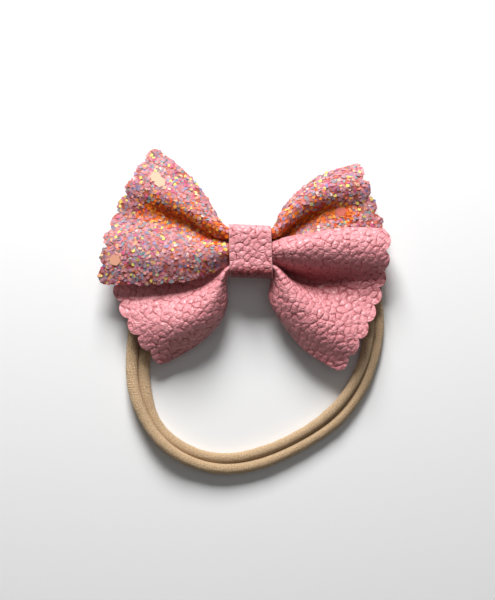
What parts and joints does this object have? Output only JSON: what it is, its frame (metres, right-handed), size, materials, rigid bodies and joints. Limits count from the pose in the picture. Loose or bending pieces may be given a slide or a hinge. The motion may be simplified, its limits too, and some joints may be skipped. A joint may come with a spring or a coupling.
{
  "type": "hair bow",
  "caption": "Scalloped pinched bow of glitter sheet and grained leather, strapped to a stretch knitted headband that it turns on.",
  "frame": {"origin": "middle of the flat back of the centre strap, where the bow rests on the table", "axes": "+Z out of the bow's face, +X along the bow from wing to wing, +Y from the headband's loop up to the bow"},
  "size_m": [0.1162, 0.1279, 0.0178],
  "materials": {
    "glitter": "chunky iridescent glitter",
    "leather": "litchi grain, satin",
    "thread": "polyester thread",
    "glue": "hot-melt glue",
    "nylon": "fine rib knit, matt"
  },
  "bodies": {
    "headband": {"headband_near": "nylon"},
    "bow": {"glitter_layer": "glitter", "leather_layer": "leather", "glitter_binding_thread": "thread", "leather_binding_thread": "thread", "layer_glue": "glue", "strap_glue": "glue", "seam_glue": "glue", "centre_strap": "leather"},
    "band_far": {"headband_far": "nylon"}
  },
  "joints": [
    {"name": "bow_tilt", "type": "hinge", "parent": "headband", "child": "bow", "pos_m": [0, 0, 0.00595], "axis": [-1, 0, 0], "range_deg": [0, 100]},
    {"name": "band_stretch", "type": "slide", "parent": "headband", "child": "band_far", "axis": [0, -1, 0], "range_m": [0, 0.06], "stiffness_N_per_m": 60}
  ]
}
